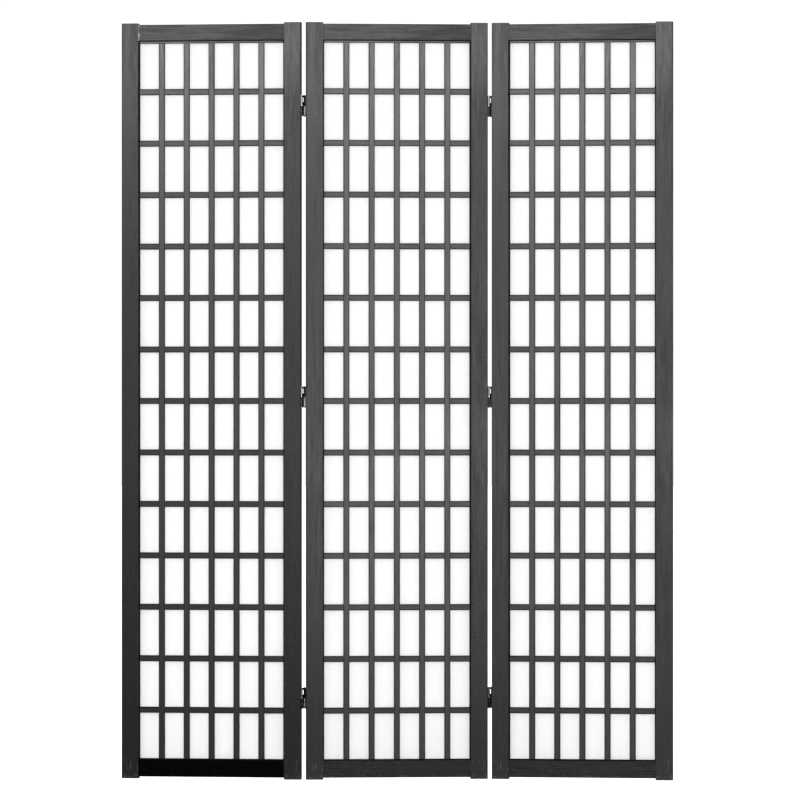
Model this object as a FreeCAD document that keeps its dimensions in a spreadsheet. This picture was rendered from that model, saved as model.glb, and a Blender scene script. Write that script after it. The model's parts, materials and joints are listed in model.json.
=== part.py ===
import FreeCAD, Part
import os
import Sketcher

# Shoji folding screen: three papered lattice panels, side by side in a shallow zigzag and
# joined along two lines by three two-way hinges each. Millimetres, +Z up, +Y away from the
# viewer. The origin is on the floor under the centre of the middle panel.
#
# Each panel is a frame of two stiles and two rails, grooved on the inside for a lattice of
# half-lapped slats with a border strip all round. One sheet of paper is glued to the back of
# the lattice. The rails are dowelled to the stiles.
#
# Each hinge has a leaf on either stile's edge, a link between them and two pins: one pin just
# in front of the front faces, the other just behind the back faces, so that the panels fold
# flat on each other both ways.

DRIVING_SIZES = (
    # name, value, what it measures
    ("panel_height", 1785, "floor to the top of a stile"),
    ("panel_width", 430, "over both stiles"),
    ("panel_thickness", 19, "stile, front to back"),
    ("stile_width", 40, "stile, across the panel"),
    ("top_rail_height", 38, "top rail, up and down"),
    ("top_rail_drop", 3.6, "top of the stiles down to the top rail"),
    ("bottom_rail_height", 40, "bottom rail, up and down"),
    ("bottom_rail_lift", 4.4, "floor to the bottom rail"),
    ("rail_setback", 0.5, "rail behind the stiles, on each face"),
    ("arris_radius", 0.8, "rounding of the stiles' and rails' edges"),
    ("groove_depth", 9.5, "groove that houses the lattice"),
    ("groove_play", 0.15, "lattice and paper to the groove, on each side"),
    ("lattice_recess", 6, "front of the frame back to the slats"),
    ("slat_thickness", 6, "slats, front to back"),
    ("upright_width", 14.2, "upright slats, across"),
    ("cross_height", 14.4, "cross slats, up and down"),
    ("upright_count", 5, "upright slats between the borders"),
    ("cross_count", 13, "cross slats between the borders"),
    ("side_reveal", 2.7, "side border strip that shows beside a stile"),
    ("top_reveal", 6.8, "top border strip that shows under the top rail"),
    ("bottom_reveal", 3.4, "bottom border strip that shows over the bottom rail"),
    ("lap_play", 0.1, "slat to the cheeks of its half-lap, on each side"),
    ("paper_thickness", 0.4, "paper"),
    ("paper_margin", 1, "edge of the lattice in to the edge of the paper"),
    ("dowel_radius", 3, "dowels"),
    ("dowel_reach", 18, "dowel in the stile, and as much in the rail"),
    ("dowel_play", 0.05, "dowel to its hole, all round"),
    ("dowel_well", 1.5, "hole past the end of a dowel"),
    ("dowel_edge", 8, "rail's outer edge to the first dowel"),
    ("dowel_spacing", 14, "first to second dowel of a joint"),
    ("middle_turn", 5.5, "middle panel, turned about the vertical, degrees"),
    ("rest_fold", 15, "fold between two panels as they stand, degrees"),
    ("hinge_gap", 8.6, "edge to edge of two panels in line"),
    ("hinge_height", 49, "hinge, up and down"),
    ("low_hinge_centre", 192, "floor to the middle of the bottom hinge"),
    ("mid_hinge_centre", 901.5, "floor to the middle of the middle hinge"),
    ("high_hinge_drop", 197, "top of the stiles down to the middle of the top hinge"),
    ("pin_radius", 1.1, "hinge pins"),
    ("pin_play", 0.05, "pin to the bore of its knuckles, all round"),
    ("pin_proud", 1, "face of a panel out to the pin's axis"),
    ("pin_head_radius", 1.9, "rounded head on each end of a pin"),
    ("pin_head_height", 0.9, "head of a pin, up and down"),
    ("pin_head_play", 0.1, "knuckle to the pin's head"),
    ("knuckle_wall", 1.05, "knuckle, bore to outside"),
    ("knuckle_play", 0.15, "middle of the hinge to the end of a knuckle"),
    ("knuckle_clearance", 0.3, "knuckle to whatever it turns past"),
    ("leaf_thickness", 1.2, "hinge leaves"),
    ("leaf_margin", 2, "far face of the stile in to the leaf's edge"),
    ("leaf_corner", 1.5, "rounding of the leaf's free corners"),
    ("link_thickness", 1.2, "plate of the link"),
    ("strap_thickness", 2.8, "strap that crosses the link at mid-height"),
    ("strap_height", 1.7, "strap, over and under mid-height"),
    ("window_height", 11, "window in the link's upper half, up and down"),
    ("window_width", 9, "window, front to back"),
    ("window_rise", 8.5, "mid-height up to the window"),
    ("screw_radius", 1.3, "shank of the hinge screws"),
    ("screw_length", 14, "screw in the stile, past the leaf"),
    ("screw_tip", 2.5, "pointed end of a screw"),
    ("screw_head_radius", 2.3, "countersunk head"),
    ("screw_head_angle", 90, "countersunk head's cone, degrees"),
    ("screw_slot_width", 0.7, "slot in the head"),
    ("screw_slot_depth", 0.4, "slot in the head, deep"),
    ("screw_spread", 16, "middle screw of a leaf to the outer ones"),
    ("screw_stagger", 2.5, "middle of the stile to a screw, front to back"),
)

# Lines that several pieces share, as expressions in the driving sizes. Front is -Y, and a
# panel's own frame has its origin on the floor, at the panel's centre.
HALF_WIDTH = "sizes.panel_width / 2"
HALF_THICKNESS = "sizes.panel_thickness / 2"
INNER_SIDE = "(sizes.panel_width / 2 - sizes.stile_width)"
BOTTOM_RAIL_TOP = "(sizes.bottom_rail_lift + sizes.bottom_rail_height)"
TOP_RAIL_TOP = "(sizes.panel_height - sizes.top_rail_drop)"
TOP_RAIL_UNDERSIDE = f"({TOP_RAIL_TOP} - sizes.top_rail_height)"

GROOVE_SIDE = f"({INNER_SIDE} + sizes.groove_depth)"
GROOVE_LOW = f"({BOTTOM_RAIL_TOP} - sizes.groove_depth)"
GROOVE_HIGH = f"({TOP_RAIL_UNDERSIDE} + sizes.groove_depth)"

SLAT_FRONT = f"(sizes.lattice_recess - {HALF_THICKNESS})"
SLAT_BACK = f"({SLAT_FRONT} + sizes.slat_thickness)"
PAPER_BACK = f"({SLAT_BACK} + sizes.paper_thickness)"
GROOVE_FRONT = f"({SLAT_FRONT} - sizes.groove_play)"
GROOVE_BACK = f"({PAPER_BACK} + sizes.groove_play)"

LATTICE_SIDE = f"({GROOVE_SIDE} - sizes.groove_play)"
LATTICE_LOW = f"({GROOVE_LOW} + sizes.groove_play)"
LATTICE_HIGH = f"({GROOVE_HIGH} - sizes.groove_play)"
CLEAR_SIDE = f"({INNER_SIDE} - sizes.side_reveal)"
CLEAR_LOW = f"({BOTTOM_RAIL_TOP} + sizes.bottom_reveal)"
CLEAR_HIGH = f"({TOP_RAIL_UNDERSIDE} - sizes.top_reveal)"

UPRIGHT_PITCH = f"((2 * {CLEAR_SIDE} + sizes.upright_width) / (sizes.upright_count + 1))"
CROSS_PITCH = f"(({CLEAR_HIGH} - {CLEAR_LOW} + sizes.cross_height) / (sizes.cross_count + 1))"
FIRST_UPRIGHT = f"({UPRIGHT_PITCH} - sizes.upright_width - {CLEAR_SIDE})"
FIRST_CROSS = f"({CLEAR_LOW} + {CROSS_PITCH} - sizes.cross_height)"

DOWEL_HEIGHTS = (
    "(sizes.bottom_rail_lift + sizes.dowel_edge)",
    "(sizes.bottom_rail_lift + sizes.dowel_edge + sizes.dowel_spacing)",
    f"({TOP_RAIL_TOP} - sizes.dowel_edge)",
    f"({TOP_RAIL_TOP} - sizes.dowel_edge - sizes.dowel_spacing)",
)

# A hinge's own frame has its origin at mid-height on the edge of the stile at its left. The
# other stile's edge is hinge_gap further along X while the two panels are in line.
BORE_RADIUS = "(sizes.pin_radius + sizes.pin_play)"
KNUCKLE_RADIUS = f"({BORE_RADIUS} + sizes.knuckle_wall)"
PIN_STANDOFF = f"({KNUCKLE_RADIUS} + sizes.knuckle_clearance)"
PIN_REACH = f"({HALF_THICKNESS} + sizes.pin_proud)"
PIN_OFFSET = f"(sizes.hinge_gap - 2 * {PIN_STANDOFF})"
PIN_DISTANCE = f"hypot({PIN_OFFSET}; 2 * {PIN_REACH})"
LINK_TURN = f"atan2(2 * {PIN_REACH}; {PIN_OFFSET})"
KNUCKLE_SPACE = f"({KNUCKLE_RADIUS} + sizes.knuckle_clearance)"
HALF_HINGE = "sizes.hinge_height / 2"
FRONT_PIN = f"vector({PIN_STANDOFF}; -{PIN_REACH}; 0)"
BACK_PIN = f"vector({PIN_STANDOFF} + {PIN_OFFSET}; {PIN_REACH}; 0)"

HINGE_LEVELS = (
    ("bottom", "sizes.low_hinge_centre"),
    ("middle", "sizes.mid_hinge_centre"),
    ("top", "(sizes.panel_height - sizes.high_hinge_drop)"),
)
LEAF_SCREWS = (
    ("-sizes.screw_stagger", "-sizes.screw_spread"),
    ("sizes.screw_stagger", "0"),
    ("-sizes.screw_stagger", "sizes.screw_spread"),
)

doc = FreeCAD.newDocument("shoji_screen")
sheet = doc.addObject("Spreadsheet::Sheet", "sizes")
nodes = []


def fill_sheet():
    """Writes the driving sizes, one to a row: name, value, meaning."""
    for row, (name, value, meaning) in enumerate(DRIVING_SIZES, start=1):
        sheet.set(f"A{row}", name)
        sheet.set(f"B{row}", str(value))
        sheet.set(f"C{row}", meaning)
        sheet.setAlias(f"B{row}", name)
    doc.recompute()


def number(expression):
    """What an expression in the driving sizes comes to."""
    return float(sheet.evalExpression(expression))


def vector(x="0", y="0", z="0"):
    return f"vector({x}; {y}; {z})"


def move(offset, turn="0"):
    """A placement, as an expression: shifted by offset and turned about the vertical."""
    return f"placement({offset}; rotation(vector(0; 0; 1); {turn}))"


def add_frame(name, expression):
    """A named place that pieces are put at."""
    frame = doc.addObject("App::Placement", name)
    frame.setExpression("Placement", expression)
    return f"{name}.Placement"


# Sketches: every point and radius is tied to the driving sizes.


def plane_of(body, role):
    return next(plane for plane in body.Origin.OriginFeatures if plane.Role == role)


def add_sketch(body, name, role, offset="0"):
    """A sketch on one of the body's own planes, moved along the plane's normal by offset."""
    sketch = body.newObject("Sketcher::SketchObject", name)
    sketch.AttachmentSupport = [(plane_of(body, role), "")]
    sketch.MapMode = "FlatFace"
    sketch.setExpression("AttachmentOffset.Base.z", offset)
    return sketch


def tie(sketch, kind, edge, point, expression):
    """Ties a point's distance from the sketch's origin to an expression."""
    distance = number(expression)
    rule = sketch.addConstraint(Sketcher.Constraint(kind, -1, 1, edge, point, distance))
    sketch.setExpression(f"Constraints[{rule}]", expression)


def draw_outline(sketch, corners):
    """A closed outline of straight edges, from pairs of expressions."""
    points = [FreeCAD.Vector(number(across), number(up), 0) for across, up in corners]
    edges = []
    for start, end in zip(points, points[1:] + points[:1]):
        edges.append(sketch.addGeometry(Part.LineSegment(start, end), False))
    for edge, before, (across, up) in zip(edges, edges[-1:] + edges[:-1], corners):
        sketch.addConstraint(Sketcher.Constraint("Coincident", before, 2, edge, 1))
        tie(sketch, "DistanceX", edge, 1, across)
        tie(sketch, "DistanceY", edge, 1, up)


def draw_rectangle(sketch, left, low, right, high):
    draw_outline(sketch, [(left, low), (right, low), (right, high), (left, high)])


def draw_circle(sketch, across, up, radius):
    centre = FreeCAD.Vector(number(across), number(up), 0)
    circle = Part.Circle(centre, FreeCAD.Vector(0, 0, 1), number(radius))
    edge = sketch.addGeometry(circle, False)
    tie(sketch, "DistanceX", edge, 3, across)
    tie(sketch, "DistanceY", edge, 3, up)
    rule = sketch.addConstraint(Sketcher.Constraint("Radius", edge, number(radius)))
    sketch.setExpression(f"Constraints[{rule}]", radius)


# Features of a body.


def add_body(name, place):
    body = doc.addObject("PartDesign::Body", name)
    body.setExpression("Placement", place)
    return body


def finish_feature(body, feature):
    """Makes the feature the body's last one and checks that it could be made."""
    body.Tip = feature
    doc.recompute()
    if not feature.isValid():
        raise RuntimeError(f"{body.Name}: {feature.Name} could not be made")
    return feature


def add_pad(body, sketch, length, backwards=False, both_ways=False):
    pad = body.newObject("PartDesign::Pad", f"{sketch.Name}_pad")
    pad.Profile = sketch
    pad.setExpression("Length", length)
    pad.Reversed = backwards
    pad.Midplane = both_ways
    return finish_feature(body, pad)


def add_pocket(body, sketch, length, backwards=False, both_ways=False):
    """A cut, which has to take something away."""
    before = body.Shape.Volume
    pocket = body.newObject("PartDesign::Pocket", f"{sketch.Name}_cut")
    pocket.Profile = sketch
    pocket.setExpression("Length", length)
    pocket.Reversed = backwards
    pocket.Midplane = both_ways
    finish_feature(body, pocket)
    if body.Shape.Volume >= before:
        raise RuntimeError(f"{body.Name}: {pocket.Name} cuts nothing")
    return pocket


def add_row(body, feature, role, pitch, count):
    """Repeats a feature in a row along a plane's normal."""
    row = body.newObject("PartDesign::LinearPattern", f"{feature.Name}_row")
    row.Originals = [feature]
    row.Direction = (plane_of(body, role), [""])
    row.setExpression("Length", f"{pitch} * ({count} - 1)")
    row.setExpression("Occurrences", count)
    return finish_feature(body, row)


def add_mirror(body, feature, role):
    mirror = body.newObject("PartDesign::Mirrored", f"{feature.Name}_mirror")
    mirror.Originals = [feature]
    mirror.MirrorPlane = (plane_of(body, role), [""])
    return finish_feature(body, mirror)


def add_fillet(body, feature, radius, picks):
    """Rounds the edges of the last feature that picks says yes to."""
    numbered = enumerate(feature.Shape.Edges, start=1)
    names = [f"Edge{index}" for index, edge in numbered if picks(edge)]
    fillet = body.newObject("PartDesign::Fillet", f"{feature.Name}_rounding")
    fillet.Base = (feature, names)
    fillet.setExpression("Radius", radius)
    return finish_feature(body, fillet)


def runs_along(edge, axis):
    """True for a straight edge along X, Y or Z of the body."""
    if edge.Curve.TypeId != "Part::GeomLine":
        return False
    return abs(getattr(edge.Curve.Direction, axis)) > 0.999


# Pieces of a panel.


def make_stile(name, place, side, screwed):
    """A stile. side is -1 at the panel's left and 1 at its right, seen from the front."""
    inner = f"{side} * {INNER_SIDE}"
    outer = f"{side} * {HALF_WIDTH}"
    body = add_body(name, place)

    section = add_sketch(body, f"{name}_section", "XY_Plane")
    draw_rectangle(section, inner, f"-{HALF_THICKNESS}", outer, HALF_THICKNESS)
    blank = add_pad(body, section, "sizes.panel_height")
    add_fillet(body, blank, "sizes.arris_radius", lambda edge: True)

    groove = add_sketch(body, f"{name}_groove", "XY_Plane", GROOVE_LOW)
    draw_rectangle(groove, inner, GROOVE_FRONT, f"{side} * {GROOVE_SIDE}", GROOVE_BACK)
    add_pocket(body, groove, f"{GROOVE_HIGH} - {GROOVE_LOW}", backwards=True)

    dowel_holes = add_sketch(body, f"{name}_dowel_holes", "YZ_Plane", inner)
    for height in DOWEL_HEIGHTS:
        draw_circle(dowel_holes, "0", height, "sizes.dowel_radius + sizes.dowel_play")
    add_pocket(body, dowel_holes, "sizes.dowel_reach + sizes.dowel_well", backwards=side > 0)

    if screwed:
        pilot_holes = add_sketch(body, f"{name}_pilot_holes", "YZ_Plane", outer)
        for _, centre in HINGE_LEVELS:
            for across, up in LEAF_SCREWS:
                height = f"{centre} + {side} * ({up})"
                draw_circle(pilot_holes, f"{side} * ({across})", height, "sizes.screw_radius")
        add_pocket(body, pilot_holes, "sizes.screw_length", backwards=side < 0)
    nodes.append(body)


def make_rail(name, place, low, high, groove_floor, dowel_heights):
    """A rail between the stiles, with the groove for the lattice along one edge."""
    front = f"(sizes.rail_setback - {HALF_THICKNESS})"
    back = f"({HALF_THICKNESS} - sizes.rail_setback)"
    body = add_body(name, place)

    section = add_sketch(body, f"{name}_section", "YZ_Plane")
    draw_rectangle(section, front, low, back, high)
    blank = add_pad(body, section, f"2 * {INNER_SIDE}", both_ways=True)
    add_fillet(body, blank, "sizes.arris_radius", lambda edge: runs_along(edge, "x"))

    groove = add_sketch(body, f"{name}_groove", "YZ_Plane")
    edge = low if groove_floor == GROOVE_HIGH else high
    draw_rectangle(groove, GROOVE_FRONT, edge, GROOVE_BACK, groove_floor)
    add_pocket(body, groove, f"2 * {INNER_SIDE}", both_ways=True)

    for side, end in ((-1, "left"), (1, "right")):
        holes = add_sketch(body, f"{name}_{end}_dowel_holes", "YZ_Plane", f"{side} * {INNER_SIDE}")
        for height in dowel_heights:
            draw_circle(holes, "0", height, "sizes.dowel_radius + sizes.dowel_play")
        add_pocket(body, holes, "sizes.dowel_reach + sizes.dowel_well", backwards=side < 0)
    nodes.append(body)


def make_dowels(name, place):
    """The eight dowels that hold the rails to the stiles."""
    body = add_body(name, place)
    start = f"-{INNER_SIDE} - sizes.dowel_reach"
    ends = add_sketch(body, f"{name}_ends", "YZ_Plane", start)
    for height in DOWEL_HEIGHTS:
        draw_circle(ends, "0", height, "sizes.dowel_radius")
    left = add_pad(body, ends, "2 * sizes.dowel_reach")
    add_mirror(body, left, "YZ_Plane")
    nodes.append(body)


def make_uprights(name, place):
    """The upright slats and side border strips, notched at the back for the cross slats."""
    body = add_body(name, place)
    borders = add_sketch(body, f"{name}_borders", "XZ_Plane", f"-{SLAT_BACK}")
    draw_rectangle(borders, f"-{LATTICE_SIDE}", LATTICE_LOW, f"-{CLEAR_SIDE}", LATTICE_HIGH)
    draw_rectangle(borders, CLEAR_SIDE, LATTICE_LOW, LATTICE_SIDE, LATTICE_HIGH)
    add_pad(body, borders, "sizes.slat_thickness")

    face = add_sketch(body, f"{name}_face", "XZ_Plane", f"-{SLAT_BACK}")
    right = f"{FIRST_UPRIGHT} + sizes.upright_width"
    draw_rectangle(face, FIRST_UPRIGHT, CLEAR_LOW, right, CLEAR_HIGH)
    slat = add_pad(body, face, "sizes.slat_thickness")
    add_row(body, slat, "YZ_Plane", UPRIGHT_PITCH, "sizes.upright_count")

    lap = add_sketch(body, f"{name}_lap", "XZ_Plane", f"-{SLAT_BACK}")
    low = f"{FIRST_CROSS} - sizes.lap_play"
    high = f"{FIRST_CROSS} + sizes.cross_height + sizes.lap_play"
    draw_rectangle(lap, f"-{CLEAR_SIDE}", low, CLEAR_SIDE, high)
    notch = add_pocket(body, lap, "sizes.slat_thickness / 2", backwards=True)
    add_row(body, notch, "XY_Plane", CROSS_PITCH, "sizes.cross_count")
    nodes.append(body)


def make_crosses(name, place):
    """The cross slats and the top and bottom border strips, notched at the front."""
    body = add_body(name, place)
    borders = add_sketch(body, f"{name}_borders", "XZ_Plane", f"-{SLAT_BACK}")
    draw_rectangle(borders, f"-{CLEAR_SIDE}", LATTICE_LOW, CLEAR_SIDE, CLEAR_LOW)
    draw_rectangle(borders, f"-{CLEAR_SIDE}", CLEAR_HIGH, CLEAR_SIDE, LATTICE_HIGH)
    add_pad(body, borders, "sizes.slat_thickness")

    face = add_sketch(body, f"{name}_face", "XZ_Plane", f"-{SLAT_BACK}")
    high = f"{FIRST_CROSS} + sizes.cross_height"
    draw_rectangle(face, f"-{CLEAR_SIDE}", FIRST_CROSS, CLEAR_SIDE, high)
    slat = add_pad(body, face, "sizes.slat_thickness")
    add_row(body, slat, "XY_Plane", CROSS_PITCH, "sizes.cross_count")

    lap = add_sketch(body, f"{name}_lap", "XZ_Plane", f"-{SLAT_FRONT}")
    left = f"{FIRST_UPRIGHT} - sizes.lap_play"
    right = f"{FIRST_UPRIGHT} + sizes.upright_width + sizes.lap_play"
    draw_rectangle(lap, left, CLEAR_LOW, right, CLEAR_HIGH)
    notch = add_pocket(body, lap, "sizes.slat_thickness / 2")
    add_row(body, notch, "YZ_Plane", UPRIGHT_PITCH, "sizes.upright_count")
    nodes.append(body)


def make_paper(name, place):
    """One sheet behind the lattice, held in the groove with it."""
    paper = doc.addObject("Part::Box", name)
    side = f"({LATTICE_SIDE} - sizes.paper_margin)"
    low = f"({LATTICE_LOW} + sizes.paper_margin)"
    paper.setExpression("Length", f"2 * {side}")
    paper.setExpression("Width", "sizes.paper_thickness")
    paper.setExpression("Height", f"{LATTICE_HIGH} - sizes.paper_margin - {low}")
    paper.setExpression("Placement", f"{place} * {move(vector('-' + side, SLAT_BACK, low))}")
    nodes.append(paper)


def make_panel(panel, place, screwed_sides):
    """All the wood and paper of one panel. screwed_sides are those that carry hinges."""
    for side, word in ((-1, "left"), (1, "right")):
        make_stile(f"{panel}_{word}_stile", place, side, side in screwed_sides)
    make_rail(
        f"{panel}_bottom_rail", place, "sizes.bottom_rail_lift", BOTTOM_RAIL_TOP,
        GROOVE_LOW, DOWEL_HEIGHTS[:2],
    )
    make_rail(
        f"{panel}_top_rail", place, TOP_RAIL_UNDERSIDE, TOP_RAIL_TOP,
        GROOVE_HIGH, DOWEL_HEIGHTS[2:],
    )
    make_dowels(f"{panel}_dowels", place)
    make_uprights(f"{panel}_upright_slats", place)
    make_crosses(f"{panel}_cross_slats", place)
    make_paper(f"{panel}_paper", place)


# Pieces of a hinge.


def make_leaf(name, place, side):
    """A leaf on a stile's edge. side is 1 for the leaf with the front pin's lower knuckle,
    on the left stile, and -1 for the one with the back pin's upper knuckle."""
    reach = f"{side} * ({HALF_THICKNESS} - sizes.leaf_margin)"
    pin = f"{side} * -{PIN_REACH}"
    cut_back = f"{side} * ({KNUCKLE_SPACE} - {PIN_REACH})"
    knuckled = f"{side} * -{HALF_HINGE}"
    plain = f"{side} * {HALF_HINGE}"
    split = f"{side} * -sizes.knuckle_play"
    body = add_body(name, place)

    plate = add_sketch(body, f"{name}_plate", "YZ_Plane")
    corners = [(pin, knuckled), (reach, knuckled), (reach, plain)]
    corners += [(cut_back, plain), (cut_back, split), (pin, split)]
    draw_outline(plate, corners)
    blank = add_pad(body, plate, "sizes.leaf_thickness", backwards=side < 0)

    def is_free_corner(edge):
        return runs_along(edge, "x") and abs(edge.CenterOfMass.y - number(reach)) < 0.01

    add_fillet(body, blank, "sizes.leaf_corner", is_free_corner)

    knuckle = add_sketch(body, f"{name}_knuckle", "XY_Plane", split)
    draw_circle(knuckle, f"{side} * {PIN_STANDOFF}", pin, KNUCKLE_RADIUS)
    add_pad(body, knuckle, f"{HALF_HINGE} - sizes.knuckle_play", backwards=side > 0)

    bore = add_sketch(body, f"{name}_bore", "XY_Plane")
    draw_circle(bore, f"{side} * {PIN_STANDOFF}", pin, BORE_RADIUS)
    add_pocket(body, bore, "sizes.hinge_height", both_ways=True)

    holes = add_sketch(body, f"{name}_screw_holes", "YZ_Plane", f"{side} * sizes.leaf_thickness")
    for across, up in LEAF_SCREWS:
        draw_circle(holes, f"{side} * ({across})", f"{side} * ({up})", "sizes.screw_radius")
    before = body.Shape.Volume
    sink = body.newObject("PartDesign::Hole", f"{name}_screw_holes_sink")
    sink.Profile = holes
    doc.recompute()
    sink.DepthType = "ThroughAll"
    sink.Reversed = side < 0
    sink.setExpression("Diameter", "2 * sizes.screw_radius")
    sink.HoleCutType = "Countersink"
    sink.HoleCutCustomValues = True
    sink.setExpression("HoleCutDiameter", "2 * sizes.screw_head_radius")
    sink.setExpression("HoleCutCountersinkAngle", "sizes.screw_head_angle")
    finish_feature(body, sink)
    if body.Shape.Volume >= before:
        raise RuntimeError(f"{name}: the screw holes cut nothing")
    nodes.append(body)


def make_link(name, place):
    """The link. Its frame has X along the plate, from the front pin to the back pin."""
    body = add_body(name, place)

    plate = add_sketch(body, f"{name}_plate", "XZ_Plane")
    draw_outline(plate, link_corners(HALF_HINGE))
    add_pad(body, plate, "sizes.link_thickness", both_ways=True)

    strap = add_sketch(body, f"{name}_strap", "XZ_Plane")
    draw_outline(strap, link_corners("sizes.strap_height"))
    add_pad(body, strap, "sizes.strap_thickness", both_ways=True)

    for end, across, upwards in (("front", "0", 1), ("back", PIN_DISTANCE, -1)):
        knuckle = add_sketch(
            body, f"{name}_{end}_knuckle", "XY_Plane", f"{upwards} * sizes.knuckle_play"
        )
        draw_circle(knuckle, across, "0", KNUCKLE_RADIUS)
        add_pad(body, knuckle, f"{HALF_HINGE} - sizes.knuckle_play", backwards=upwards < 0)

    bores = add_sketch(body, f"{name}_bores", "XY_Plane")
    draw_circle(bores, "0", "0", BORE_RADIUS)
    draw_circle(bores, PIN_DISTANCE, "0", BORE_RADIUS)
    add_pocket(body, bores, "sizes.hinge_height", both_ways=True)

    window = add_sketch(body, f"{name}_window", "XZ_Plane")
    left = f"({PIN_DISTANCE} - sizes.window_width) / 2"
    right = f"({PIN_DISTANCE} + sizes.window_width) / 2"
    high = "sizes.window_rise + sizes.window_height"
    draw_rectangle(window, left, "sizes.window_rise", right, high)
    add_pocket(body, window, "2 * sizes.link_thickness", both_ways=True)
    nodes.append(body)


def link_corners(half_height):
    """A stepped outline: it meets the front pin above mid-height and the back pin below."""
    before_back_pin = f"{PIN_DISTANCE} - {KNUCKLE_SPACE}"
    return [
        (KNUCKLE_SPACE, f"-{half_height}"),
        (PIN_DISTANCE, f"-{half_height}"),
        (PIN_DISTANCE, "-sizes.knuckle_play"),
        (before_back_pin, "-sizes.knuckle_play"),
        (before_back_pin, half_height),
        ("0", half_height),
        ("0", "sizes.knuckle_play"),
        (KNUCKLE_SPACE, "sizes.knuckle_play"),
    ]


def make_pins(name, place):
    """The two pins of a hinge, with a head on each end. Same frame as the link."""
    body = add_body(name, place)
    shoulder = f"({HALF_HINGE} + sizes.pin_head_play)"
    end = f"({shoulder} + sizes.pin_head_height)"
    profile = add_sketch(body, f"{name}_profile", "XZ_Plane")
    corners = [
        ("0", f"-{end}"),
        ("sizes.pin_head_radius", f"-{end}"),
        ("sizes.pin_head_radius", f"-{shoulder}"),
        ("sizes.pin_radius", f"-{shoulder}"),
        ("sizes.pin_radius", shoulder),
        ("sizes.pin_head_radius", shoulder),
        ("sizes.pin_head_radius", end),
        ("0", end),
    ]
    draw_outline(profile, corners)
    pin = body.newObject("PartDesign::Revolution", f"{name}_turned")
    pin.Profile = profile
    pin.ReferenceAxis = (profile, ["V_Axis"])
    pin.Angle = 360
    finish_feature(body, pin)
    add_row(body, pin, "YZ_Plane", PIN_DISTANCE, "2")
    nodes.append(body)


def make_screw():
    """One countersunk screw, along -X from the face of a leaf. A pattern for the groups."""
    body = doc.addObject("PartDesign::Body", "screw_pattern")
    shank = "(-sizes.leaf_thickness - sizes.screw_length)"
    cone = "(sizes.screw_head_radius - sizes.screw_radius) / tan(sizes.screw_head_angle / 2)"
    profile = add_sketch(body, "screw_profile", "XY_Plane")
    corners = [
        ("0", "0"),
        ("0", "sizes.screw_head_radius"),
        (f"-{cone}", "sizes.screw_radius"),
        (f"{shank} + sizes.screw_tip", "sizes.screw_radius"),
        (shank, "0"),
    ]
    draw_outline(profile, corners)
    turned = body.newObject("PartDesign::Revolution", "screw_turned")
    turned.Profile = profile
    turned.ReferenceAxis = (profile, ["H_Axis"])
    turned.Angle = 360
    finish_feature(body, turned)

    slot = add_sketch(body, "screw_slot", "YZ_Plane")
    half_slot = "sizes.screw_slot_width / 2"
    across = "sizes.screw_head_radius * 2"
    draw_rectangle(slot, f"-{half_slot}", f"-{across}", half_slot, across)
    add_pocket(body, slot, "sizes.screw_slot_depth")
    return body


def make_screws(name, edge_frame, screw, side):
    """The nine screws of one stile's three leaves, on a frame at the stile's edge. side is
    1 where the stile is at the left of its hinges, and -1 where it is at the right."""
    group = doc.addObject("Part::Feature", name)
    turn = FreeCAD.Rotation(FreeCAD.Vector(0, 0, 1), 0 if side > 0 else 180)
    head = side * number("sizes.leaf_thickness")
    copies = []
    for _, centre in HINGE_LEVELS:
        for across, up in LEAF_SCREWS:
            height = number(f"{centre} + {side} * ({up})")
            spot = FreeCAD.Vector(head, side * number(across), height)
            copy = screw.Shape.copy()
            copy.Placement = FreeCAD.Placement(spot, turn)
            copies.append(copy)
    group.Shape = Part.makeCompound(copies)
    group.setExpression("Placement", edge_frame)
    nodes.append(group)


def make_hinge_line(line, link_frame, front_edge, back_edge):
    """Three hinges. The frames are those of the link and of the two stiles' edges."""
    for level, centre in HINGE_LEVELS:
        hinge = f"{line}_{level}_hinge"
        lift = move(vector(z=centre))
        plate = move(f"vector({PIN_STANDOFF}; -{PIN_REACH}; {centre})", LINK_TURN)
        make_leaf(f"{hinge}_front_leaf", f"{front_edge} * {lift}", 1)
        make_leaf(f"{hinge}_back_leaf", f"{back_edge} * {lift}", -1)
        make_link(f"{hinge}_link", f"{link_frame} * {plate}")
        make_pins(f"{hinge}_pins", f"{link_frame} * {plate}")


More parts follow.
